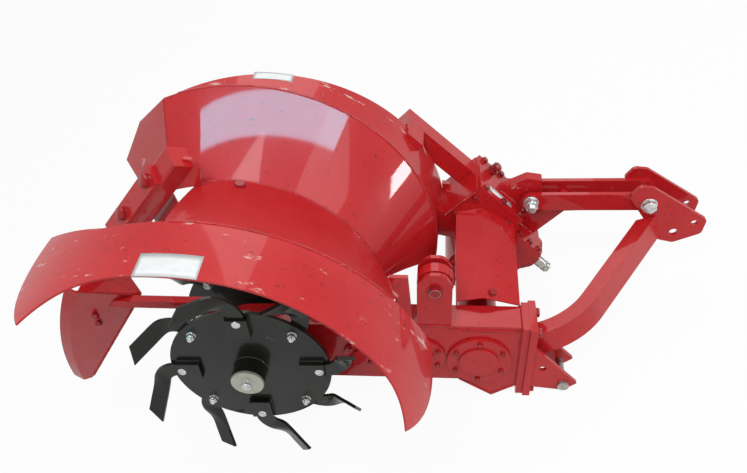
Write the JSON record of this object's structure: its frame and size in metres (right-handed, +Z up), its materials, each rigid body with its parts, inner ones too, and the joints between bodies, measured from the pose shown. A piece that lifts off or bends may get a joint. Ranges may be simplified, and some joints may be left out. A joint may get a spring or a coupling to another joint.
{
  "type": "tractor ditcher",
  "caption": "Mounted ditcher with a twin-disc tine rotor under a flared hood, a side gear case, a bevel gearbox, a three-point hitch frame and a rear ditch scraper.",
  "frame": {"origin": "middle of the footprint on the ground, under the machine as it parks on its rotor and lower hitch ears", "axes": "+Z up, +X from the scraper along the side gear case to the hitch, +Y from the rotor side to the gearbox side"},
  "size_m": [1.9916, 1.492, 1.0748],
  "materials": {
    "red_paint": "gloss",
    "black_paint": "satin",
    "bare_steel": "brushed",
    "pale_washer": "satin"
  },
  "bodies": {
    "frame": {"gear_case": "red_paint", "case_covers": "red_paint", "case_flange": "red_paint", "hitch_plates": "red_paint", "lower_clevises": "red_paint", "lift_pins": "bare_steel", "mast_leg": "red_paint", "gearbox_housing": "red_paint", "gearbox_lid": "red_paint", "gearbox_lug": "red_paint", "input_bearing_cap": "red_paint", "brace_bars": "red_paint", "brace_web": "red_paint", "brace_spacers": "red_paint", "top_clevis": "red_paint", "brace_bolts": "bare_steel", "cross_drive_tube": "red_paint", "driveline_guard": "red_paint", "gearbox_side_flange": "red_paint", "far_hitch_tube": "red_paint", "hood_mouth_band": "red_paint", "hood_near_cone": "red_paint", "hood_far_cone": "red_paint", "hood_far_band": "red_paint", "hood_wing": "red_paint", "hood_loop_frame": "red_paint", "gearbox_saddle": "red_paint", "hood_lug": "red_paint", "hood_foot": "red_paint", "pivot_lug": "red_paint", "pivot_eye": "red_paint", "pivot_pin": "bare_steel", "scraper_arm": "red_paint", "scraper_strap": "red_paint", "scraper_gusset": "red_paint", "scraper_lid": "red_paint", "scraper_leaf": "red_paint", "scraper_tie_bar": "red_paint", "scraper_tie_lug": "red_paint"},
    "input": {"input_shaft": "bare_steel"},
    "rotor": {"rotor_shaft": "black_paint", "rotor_end_washers": "pale_washer", "rotor_discs": "black_paint", "tine_sockets": "black_paint", "rotor_tines": "black_paint"}
  },
  "joints": [
    {"name": "rotor_spin", "type": "hinge", "parent": "frame", "child": "rotor", "pos_m": [-0.34942, -0.14, 0.34918], "axis": [0, 1, 0], "continuous": true},
    {"name": "input_spin", "type": "hinge", "parent": "frame", "child": "input", "pos_m": [0.42209, 0.2725, 0.1823], "axis": [0.5219, 0, -0.853], "continuous": true}
  ],
  "couplings": [
    {"joint": "input_spin", "follows": "rotor_spin", "ratio": 2}
  ]
}
